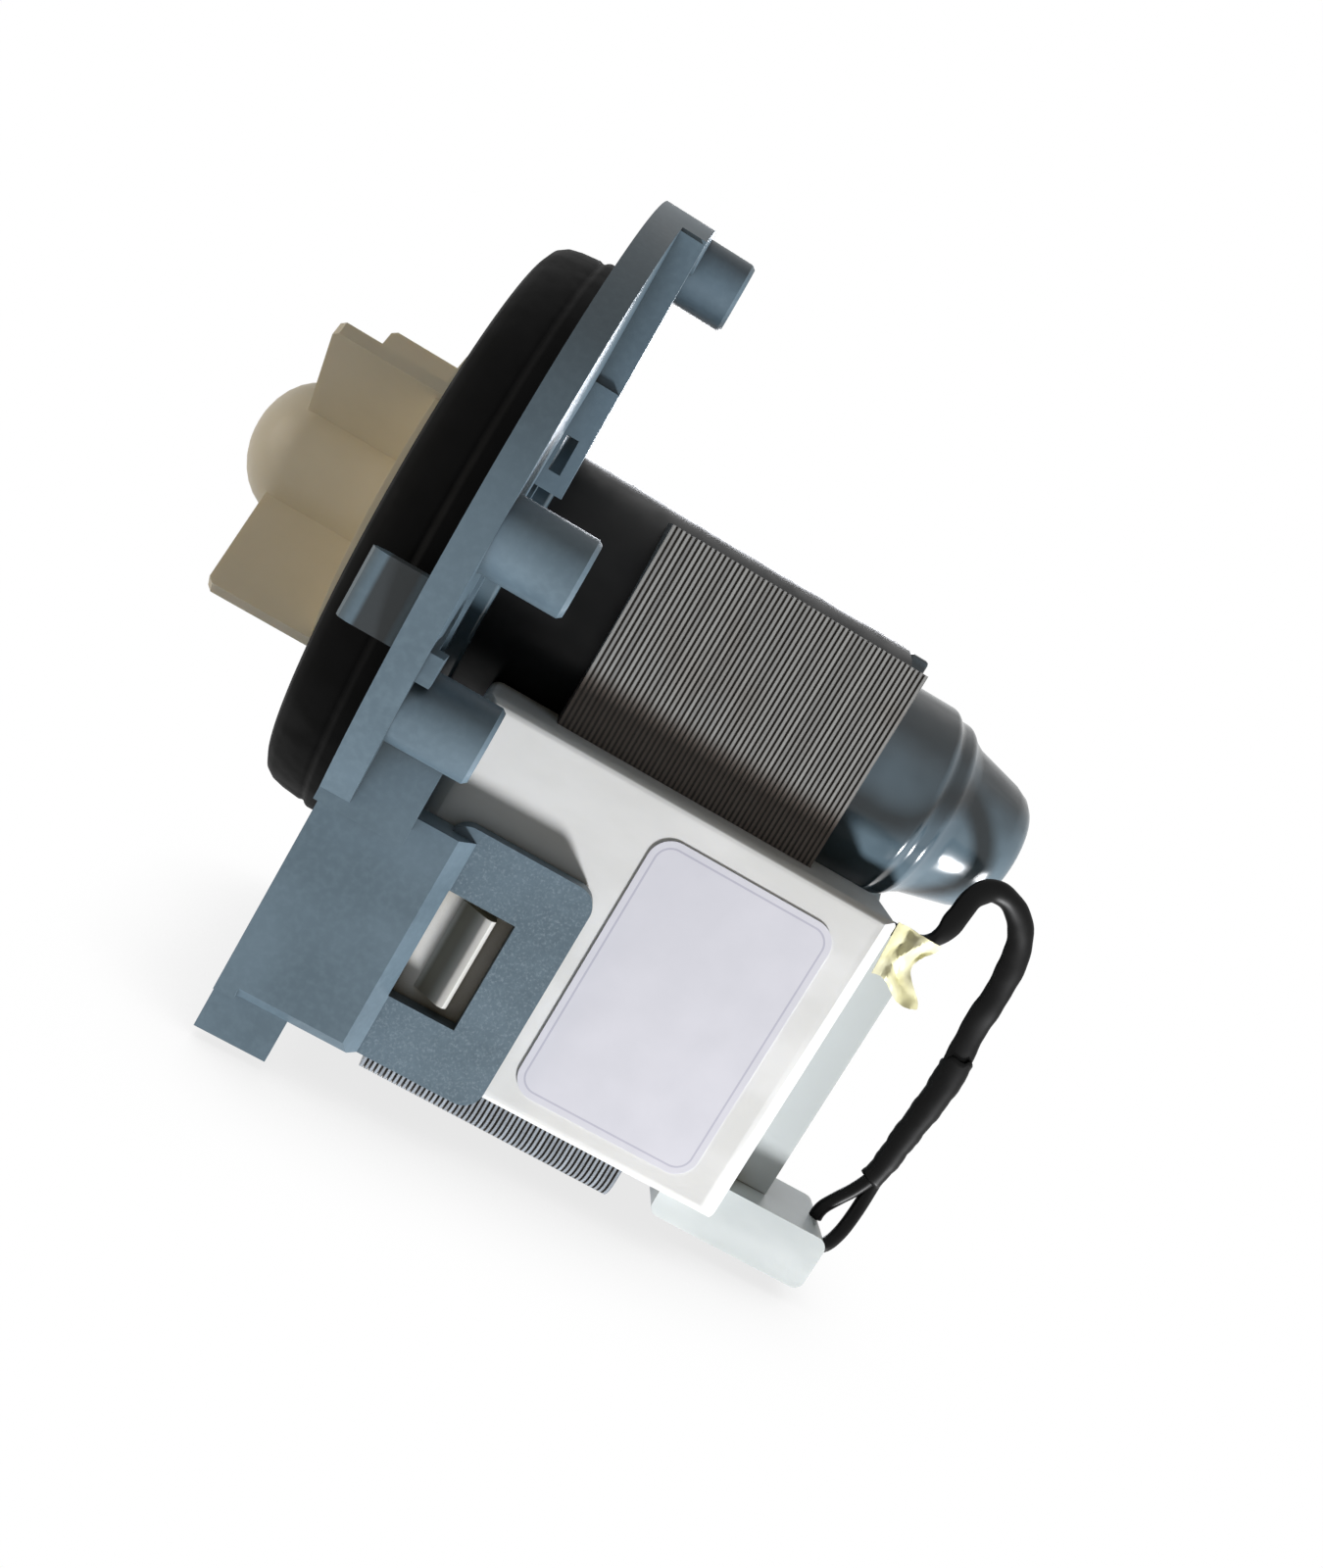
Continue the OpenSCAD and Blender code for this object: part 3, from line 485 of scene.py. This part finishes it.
def punched_steel():
    made, tree, shader, place = new_material("electrical_steel_punched_edge")
    core_low, core_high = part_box("stator_core")
    axes = add(tree, "SeparateXYZ", {"Vector": place})
    from_front = add(tree, "Math", {0: axes.outputs["X"], 1: core_low.x}, 0, operation="SUBTRACT")
    from_rear = add(tree, "Math", {0: core_high.x, 1: axes.outputs["X"]}, 0, operation="SUBTRACT")
    from_end = add(tree, "Math", {0: from_front, 1: from_rear}, 0, operation="MINIMUM")
    inside = add(tree, "Math", {0: from_end, 1: bare_end_mm * MM}, 0, operation="GREATER_THAN")
    sheet = add(tree, "Math", {0: from_front, 1: sheet_pitch_mm * MM}, 0, operation="DIVIDE")
    number = add(tree, "Math", {0: sheet}, 0, operation="FLOOR")
    tone = add(tree, "TexWhiteNoise", {"W": number}, "Value", noise_dimensions="1D")
    phase = add(tree, "Math", {0: sheet, 1: number}, 0, operation="SUBTRACT")
    off_middle = add(tree, "Math", {0: phase, 1: edge_middle}, 0, operation="SUBTRACT")
    off_middle = add(tree, "Math", {0: off_middle}, 0, operation="ABSOLUTE")
    patch = add(tree, "TexNoise", {"Vector": place, "Scale": per_mm(11), "Detail": 4.0}, "Fac")
    grain = add(tree, "TexNoise", {"Vector": place, "Scale": per_mm(0.35), "Detail": 2.0}, "Fac")

    colour = add(tree, "Mix", {FACTOR: tone, UNDER: linear("#898988"), OVER: linear("#a0a09e")}, MIXED,
                 data_type="RGBA")
    colour = tint(tree, colour, linear("#6d5c4e"), patch, 0.5, 0.8, 0.0, 0.4)
    colour = tint(tree, colour, linear("#a8a49c"), grain, 0.5, 0.8, 0.0, 0.3)
    # painted brown shadow on the legs just above the case
    colour = tint(tree, colour, linear("#4e3f35"), axes.outputs["Z"], -5.5 * MM, -2.5 * MM, 0.8, 0.0)
    yoke_tone = add(tree, "Mix", {FACTOR: tone, UNDER: linear("#858b92"), OVER: linear("#9ba2aa")}, MIXED,
                    data_type="RGBA")
    colour = tint(tree, colour, yoke_tone, axes.outputs["Z"], -45 * MM, -43 * MM, 1.0, 0.0)
    # painted shade in the grooves between the sheets
    colour = tint(tree, colour, linear("#38342f"), off_middle, 0.14, 0.36, where=inside)
    dress(tree, shader, colour, (grain, 0.3, 0.8, 0.34, 0.5), (grain, 0.3, 0.02),
          {"Metallic": 0.1, "Specular IOR Level": 0.2})
    return made


core_steel = punched_steel()
tell(core_steel)

# %% [markdown]
# The impeller is natural polyamide. It is cream, slightly translucent and satin, and it goes warmer where it
# is thick. It sits in the shade of the flange, so most of its shape is read from soft changes of tone.

# %% Impeller plastic
def natural_polyamide():
    made, tree, shader, place = new_material("polyamide_natural_satin")
    cloud = add(tree, "TexNoise", {"Vector": place, "Scale": per_mm(7), "Detail": 3.0}, "Fac")
    fine = add(tree, "TexNoise", {"Vector": place, "Scale": per_mm(0.6), "Detail": 2.0}, "Fac")
    colour = add(tree, "Mix", {FACTOR: cloud, UNDER: linear("#d6ccb4"), OVER: linear("#e0d7c2")}, MIXED,
                 data_type="RGBA")
    dress(tree, shader, colour, (fine, 0.2, 0.8, 0.42, 0.55), (fine, 0.3, 0.02),
          {"Subsurface Weight": 0.25, "Subsurface Radius": (1.0, 0.75, 0.45), "Subsurface Scale": 1.5 * MM,
           "IOR": 1.53})
    return made


impeller_plastic = natural_polyamide()
tell(impeller_plastic)

# %% [markdown]
# Small finishes: metals, ferrite, a phenolic shell and the tape's film. Each has grain or draw lines of its
# own, drawn as fine noise that is stretched along the way the piece was made.

# %% Metals, ferrite and films
def worked_surface(name, deep, pale, metallic, roughness, grain_mm, stretch=(1, 1, 1), depth_mm=0.01):
    made, tree, shader, place = new_material(name)
    stretched = add(tree, "Mapping", {"Vector": place, "Scale": stretch}, "Vector")
    grain = add(tree, "TexNoise", {"Vector": stretched, "Scale": per_mm(grain_mm), "Detail": 4.0}, "Fac")
    dress(tree, shader, tint(tree, linear(deep), linear(pale), grain, 0.3, 0.7),
          (grain, 0.3, 0.7, roughness - 0.06, roughness + 0.06), (grain, 0.4, depth_mm),
          {"Metallic": metallic})
    return made


shaft_steel = worked_surface("stainless_steel_ground", "#b4b7ba", "#d0d3d5", 1.0, 0.22, 0.2, (1, 6, 6))
ferrite = worked_surface("ferrite_sintered", "#2b2b2e", "#3c3c40", 0.0, 0.6, 0.8, depth_mm=0.03)
copper = worked_surface("copper_wire_enamelled", "#8f4a22", "#b5673a", 0.8, 0.3, 0.4, (1, 1, 12), 0.08)
bronze = worked_surface("bronze_sintered", "#84704a", "#9d875c", 0.7, 0.5, 0.3)
brass = worked_surface("brass_tinned", "#bdb9a6", "#d2cebd", 1.0, 0.3, 0.5, (1, 1, 5))
tape_film = worked_surface("polyester_tape_film", "#ece7b6", "#f4f0cc", 0.0, 0.45, 2.5, depth_mm=0.05)
cutout_plastic = worked_surface("phenolic_moulded", "#1c1c1f", "#27272b", 0.0, 0.45, 0.6)
tell(shaft_steel, ferrite, copper, bronze, brass, tape_film, cutout_plastic)

# %% [markdown]
# The label is a bare film with rounded corners. A hair line runs round it, just inside its edge, as a printed
# frame would. The line is worked out in the shader from the distance to the label's outline.

# %% Label film
corner_radius = 3.0 * MM
line_inset, line_half_width = 0.9 * MM, 0.12 * MM


def label_film():
    made, tree, shader, place = new_material("label_film_satin")
    axes = add(tree, "SeparateXYZ", {"Vector": place})
    low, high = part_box("label")
    centre, half = (low + high) / 2, (high - low) / 2

    def beyond_squared(axis, middle, reach):
        """How far a point lies past the start of the round corner along one axis, squared."""
        offset = add(tree, "Math", {0: axes.outputs[axis], 1: middle}, 0, operation="SUBTRACT")
        size = add(tree, "Math", {0: offset}, 0, operation="ABSOLUTE")
        past = add(tree, "Math", {0: size, 1: reach - corner_radius}, 0, operation="SUBTRACT")
        past = add(tree, "Math", {0: past, 1: 0.0}, 0, operation="MAXIMUM")
        return add(tree, "Math", {0: past, 1: 2.0}, 0, operation="POWER")

    total = add(tree, "Math", {0: beyond_squared("X", centre.x, half.x),
                               1: beyond_squared("Z", centre.z, half.z)}, 0, operation="ADD")
    radius = add(tree, "Math", {0: total}, 0, operation="SQRT")
    inset = add(tree, "Math", {0: corner_radius, 1: radius}, 0, operation="SUBTRACT")
    line = add(tree, "Math", {0: inset, 1: line_inset, 2: line_half_width}, 0, operation="COMPARE")
    faint = add(tree, "Math", {0: line, 1: 0.45}, 0, operation="MULTIPLY")
    fibre = add(tree, "TexNoise", {"Vector": place, "Scale": per_mm(5), "Detail": 3.0}, "Fac")
    paper = add(tree, "Mix", {FACTOR: fibre, UNDER: linear("#d0d0d8"), OVER: linear("#dbdae2")}, MIXED,
                data_type="RGBA")
    colour = add(tree, "Mix", {FACTOR: faint, UNDER: paper, OVER: linear("#8f8da6")}, MIXED,
                 data_type="RGBA")
    dress(tree, shader, colour, (fibre, 0.3, 0.7, 0.34, 0.42), (fibre, 0.3, 0.05), {})
    return made


bare_label = label_film()
tell(bare_label)

# %% [markdown]
# Every node of the frame now gets its finish. Most pieces inside the motor are never seen, yet someone who
# takes the case off finds copper, ferrite and bronze there, not bare grey.

# %% Give each node its finish
FINISHES = {
    "front_flange": flange_plastic, "flange_drum": flange_plastic, "near_latch_arm": flange_plastic,
    "far_latch_arm": flange_plastic, "gasket": gasket_rubber, "rotor_well": well_plastic,
    "well_sleeve": sleeve_rubber, "o_ring": mount_rubber, "shaft_seal": mount_rubber,
    "front_bearing_holder": bobbin_plastic, "front_bearing_mount": mount_rubber, "front_bush": bronze,
    "rear_bearing_mount": mount_rubber, "rear_bush": bronze, "shaft": shaft_steel, "magnet": ferrite,
    "magnet_carrier": bobbin_plastic, "thrust_washers": bobbin_plastic, "drive_dog": bobbin_plastic,
    "impeller": impeller_plastic, "impeller_cap": impeller_plastic, "stator_core": core_steel,
    "coil_cover": case_plastic, "label": bare_label, "near_bobbin": bobbin_plastic,
    "far_bobbin": bobbin_plastic, "near_winding": copper, "far_winding": copper,
    "thermal_cutout": cutout_plastic, "coil_pins": brass, "insulation_tape": tape_film,
    "connector_housing": connector_plastic, "connector_blades": brass, "lead": lead_film,
}
for name, finish in FINISHES.items():
    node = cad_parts[name]
    node.data.materials.clear()
    node.data.materials.append(finish)
print("Finishes given to", len(FINISHES), "nodes")

# %% [markdown]
# It goes from the case into the connector, and the photograph shows it from end to end.

for piece in (lead_tube, outer_sleeve, second_wire):
    piece.data.materials.append(lead_film)
    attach(piece, "housing")
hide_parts("lead")
print("Lead declared,", round(lead_mm, 1), "mm")

# %% [markdown]
# Moulded plastic has no knife edges: every corner is rounded by a few tenths of a millimetre, and that small
# round is what catches the light. The frame's solids have sharp corners, so the pieces that show get a
# softened copy. A copy is merged first, because a node's mesh is loose triangles. The frame's own node is
# never changed, only replaced.

# %% Copy a node
merge_within = 0.002 * MM


def make_active(piece):
    """Deselects everything, and then selects the piece if there is one."""
    if bpy.context.object and bpy.context.object.mode != "OBJECT":
        bpy.ops.object.mode_set(mode="OBJECT")
    bpy.ops.object.select_all(action="DESELECT")
    if piece:
        piece.select_set(True)
        bpy.context.view_layer.objects.active = piece


def copy_of(node_name, new_name):
    """A copy of a node's mesh with its doubles merged."""
    piece = bpy.data.objects.new(new_name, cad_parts[node_name].data.copy())
    bpy.context.scene.collection.objects.link(piece)
    make_active(piece)
    bpy.ops.object.mode_set(mode="EDIT")
    bpy.ops.mesh.select_all(action="SELECT")
    bpy.ops.mesh.remove_doubles(threshold=merge_within)
    bpy.ops.object.mode_set(mode="OBJECT")
    return piece


# %% [markdown]
# Nodes that are one moulding are joined with a Boolean. Then flat areas are dissolved back into whole faces
# and a Bevel modifier rounds the edges between them. The narrow new faces would pull the shading of the broad
# flat ones askew, so a Weighted Normal modifier lets the broad faces decide how each edge is lit.

# %% Soften the edges of a moulding
flat_deg, edge_deg, crease_deg = 0.6, 32, 38     # dissolved below, bevelled above, left sharp above
big_round_segments = 5


def softened(node_names, new_name, body, finish, width_mm, segments=2, rounding=None):
    """A copy of one node, or of several that are one moulding, with rounded edges.

    rounding is a test that picks edges, and the radius in millimetres that they get first."""
    piece = copy_of(node_names[0], new_name)
    for other in node_names[1:]:
        extra = copy_of(other, "extra")
        make_active(piece)
        union = piece.modifiers.new("union", "BOOLEAN")
        union.operation = "UNION"
        union.solver = "EXACT"
        union.object = extra
        bpy.ops.object.modifier_apply(modifier=union.name)
        bpy.data.objects.remove(extra)
    make_active(piece)
    bpy.ops.object.mode_set(mode="EDIT")
    bpy.ops.mesh.select_all(action="SELECT")
    bpy.ops.mesh.remove_doubles(threshold=merge_within)
    bpy.ops.mesh.dissolve_limited(angle_limit=math.radians(flat_deg))
    if rounding:
        picked, radius_mm = rounding
        bpy.ops.mesh.select_all(action="DESELECT")
        shape = bmesh.from_edit_mesh(piece.data)
        for edge in shape.edges:
            if picked(edge):
                edge.select_set(True)
        bmesh.update_edit_mesh(piece.data)
        bpy.ops.mesh.bevel(offset=radius_mm * MM, segments=big_round_segments, clamp_overlap=True)
    bpy.ops.object.mode_set(mode="OBJECT")
    bevel = piece.modifiers.new("edges", "BEVEL")
    bevel.width = width_mm * MM
    bevel.segments = segments
    bevel.limit_method = "ANGLE"
    bevel.angle_limit = math.radians(edge_deg)
    bevel.use_clamp_overlap = True
    bevel.harden_normals = False
    bpy.ops.object.modifier_apply(modifier=bevel.name)
    bpy.ops.object.shade_smooth_by_angle(angle=math.radians(crease_deg))
    weighted = piece.modifiers.new("flat faces stay flat", "WEIGHTED_NORMAL")
    weighted.mode = "FACE_AREA"
    weighted.weight = 100
    weighted.keep_sharp = True
    bpy.ops.object.modifier_apply(modifier=weighted.name)
    piece.data.materials.clear()
    piece.data.materials.append(finish)
    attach(piece, body)
    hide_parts(*node_names)
    print(new_name, "has", len(piece.data.polygons), "faces")
    return piece


# %% [markdown]
# The mouldings that show: the flange, which is one piece on the real pump and four nodes in the frame, the
# gasket, the case, the connector, the impeller and the well. The impeller's rounds are the largest. The
# connector's top rear corner has a big round of its own, so its one edge is picked by its place.

# %% Softened mouldings
connector_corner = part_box("connector_housing")[1]
corner_reach = 0.05 * MM
corner_round_mm = 1.6


def on_connector_corner(edge):
    """True for the edge that runs along the connector's highest and rearmost corner."""
    return all((v.co - connector_corner).xz.length < corner_reach for v in edge.verts)


softened(["front_flange", "flange_drum", "near_latch_arm", "far_latch_arm"], "flange_moulding", "housing",
         flange_plastic, 0.35)
softened(["gasket"], "gasket_moulding", "housing", gasket_rubber, 0.3)
softened(["coil_cover"], "coil_case", "housing", case_plastic, 0.4)
softened(["connector_housing"], "connector_shell", "housing", connector_plastic, 0.4,
         rounding=(on_connector_corner, corner_round_mm))
softened(["impeller"], "impeller_moulding", "impeller", impeller_plastic, 0.7, 3)
softened(["rotor_well"], "well_moulding", "housing", well_plastic, 0.5)

# %% [markdown]
# A scrap of yellow polyester tape holds the lead to the corner of the case. It is pressed down at the case
# and crumpled where it stands off. A grid is laid between four corners and pushed in and out by two folds
# and a fine crinkle, and a Solidify modifier gives the film its thickness.

# %% Crumpled tape
TAPE_CORNERS_MM = [(66.05, -23.8, -11.2), (72.2, -22.8, -11.4), (66.3, -24.6, -18.4), (73.6, -23.4, -19.6)]
tape_cells = 26
tape_thickness = 0.12 * MM
crinkle_mm = 0.04
tape_crease_deg = 22

make_active(None)
bpy.ops.mesh.primitive_grid_add(x_subdivisions=tape_cells, y_subdivisions=tape_cells, size=1,
                                location=(0, 0, 0))
tape = bpy.context.object
tape.name = "crumpled_tape"
top_left, top_right, low_left, low_right = [Vector(corner) for corner in TAPE_CORNERS_MM]
crinkle = random.Random(11)
for vertex in tape.data.vertices:
    u, v = vertex.co.x + 0.5, 0.5 - vertex.co.y
    place_mm = (top_left * (1 - u) + top_right * u) * (1 - v) + (low_left * (1 - u) + low_right * u) * v
    fold = 0.7 * abs(math.sin(4.6 * u + 2.2 * v)) - 0.5 * abs(math.sin(5.2 * v - 1.7 * u + 0.4))
    wave = 0.2 * math.sin(11 * u - 7 * v) + 0.1 * math.sin(17 * v + 5 * u)
    place_mm.y += (fold + wave) * between(u, 0.0, 0.35) + crinkle_mm * crinkle.uniform(-1, 1)
    place_mm.x += (0.3 * math.sin(7 * v + 1) - 1.9 * math.sin(math.pi * v) ** 2) * u
    place_mm.z += 0.5 * math.sin(6 * u + 0.5) * (0.4 + v) * v + crinkle_mm * crinkle.uniform(-1, 1)
    vertex.co = place_mm * MM
film = tape.modifiers.new("film", "SOLIDIFY")
film.thickness = tape_thickness
film.offset = 0
bpy.ops.object.modifier_apply(modifier=film.name)
bpy.ops.object.shade_smooth_by_angle(angle=math.radians(tape_crease_deg))
tape.data.materials.append(tape_film)
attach(tape, "housing")
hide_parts("insulation_tape")
print("Tape of", len(tape.data.polygons), "faces")

# %% [markdown]
# The studio starts with a pale floor under the pump. It looks white to the camera and in reflections, and
# gives the pump itself far less light than it seems to: a Light Path node tells those rays apart. Ambient
# Occlusion draws the pump's soft shadow on it. The main lamp stands lower than the floor, so the floor lets
# its light pass and casts no shadow itself.

# %% Floor
floor_z = -62 * MM
floor_size = 6
shadow_reach = 30 * MM


def seen_directly(tree):
    """1 for the camera's rays, mirror rays and rays through glass, and 0 for the light on the pump."""
    rays = add(tree, "LightPath", {})
    seen = add(tree, "Math", {0: rays.outputs["Is Camera Ray"], 1: rays.outputs["Is Glossy Ray"]}, 0,
               operation="MAXIMUM")
    return add(tree, "Math", {0: seen, 1: rays.outputs["Is Transmission Ray"]}, 0, operation="MAXIMUM")


bpy.ops.mesh.primitive_plane_add(size=floor_size, location=(0, 0, floor_z))
floor = bpy.context.object
floor.name = "floor"
floor_paint = bpy.data.materials.new("floor_paper_white")
floor_paint.use_nodes = True
tree = floor_paint.node_tree
tree.nodes.remove(tree.nodes["Principled BSDF"])
paper = add(tree, "BsdfDiffuse", {"Color": linear("#e8e8e8")}, 0)
open_sky = add(tree, "AmbientOcclusion", {"Distance": shadow_reach}, "AO", samples=8)
contact = add(tree, "MapRange", {"Value": open_sky, "From Min": 0.2, "From Max": 0.95,
                                 "To Min": 0.80, "To Max": 1.0}, "Result", interpolation_type="SMOOTHSTEP")
white = add(tree, "Emission", {"Color": (1, 1, 1, 1), "Strength": contact}, 0)
both = add(tree, "MixShader", {0: seen_directly(tree), 1: paper, 2: white}, 0)
give(tree, tree.nodes["Material Output"], {"Surface": both})
floor.data.materials.append(floor_paint)
floor.visible_shadow = False
print("Floor at", round(floor_z / MM), "mm")

# %% [markdown]
# The surround is white in the same way: full strength where it is seen, and a tenth of it, slightly warm, as
# the light that fills the shadows.

# %% Surround
fill_strength = 0.10

surround = bpy.data.worlds.new("surround")
bpy.context.scene.world = surround
surround.use_nodes = True
tree = surround.node_tree
dim = tree.nodes["Background"]
give(tree, dim, {"Color": linear("#f2ecdc"), "Strength": fill_strength})
bright = add(tree, "Background", {"Color": (1, 1, 1, 1), "Strength": 1.0}, 0)
mixed = add(tree, "MixShader", {0: seen_directly(tree), 1: dim.outputs[0], 2: bright}, 0)
give(tree, tree.nodes["World Output"], {"Surface": mixed})
print("Surround of strength", fill_strength, "on the pump")

# %% [markdown]
# Four soft lamps light the pump. The main lamp stands low on the side of the yoke, because that is where the
# shadows of the flange and of the case point away from. Its light reaches the case and the latch plates and
# leaves the impeller and the top of the sleeve in shade. A weak warm lamp lifts the impeller, a weaker one
# opens the top, and one on the far side keeps that side from going black.

# %% Lamps
LAMPS = {
    "main_lamp": dict(at_mm=(890, -555, -715), aim_mm=(20, 0, -10), size_mm=195, watts=27.6, colour="#fcfdff"),
    "front_fill": dict(at_mm=(-320, -150, 40), aim_mm=(-10, 0, 0), size_mm=220, watts=0.36, colour="#fff6e8"),
    "top_fill": dict(at_mm=(80, -260, 330), aim_mm=(20, 0, 0), size_mm=260, watts=0.04, colour="#eaf1ff"),
    "far_fill": dict(at_mm=(60, 620, 90), aim_mm=(20, 0, 0), size_mm=300, watts=3.6, colour="#f6f8ff"),
}


def area_lamp(name, at_mm, aim_mm, size_mm, watts, colour):
    """A soft round lamp at one point, turned to face another."""
    data = bpy.data.lights.new(name, "AREA")
    data.shape = "DISK"
    data.size = size_mm * MM
    data.energy = watts
    data.color = linear(colour)[:3]
    lamp = bpy.data.objects.new(name, data)
    bpy.context.scene.collection.objects.link(lamp)
    lamp.location = Vector(at_mm) * MM
    direction = Vector(aim_mm) * MM - lamp.location
    lamp.rotation_euler = direction.to_track_quat("-Z", "Y").to_euler()


for name, lamp in LAMPS.items():
    area_lamp(name, **lamp)
print(len(LAMPS), "lamps")
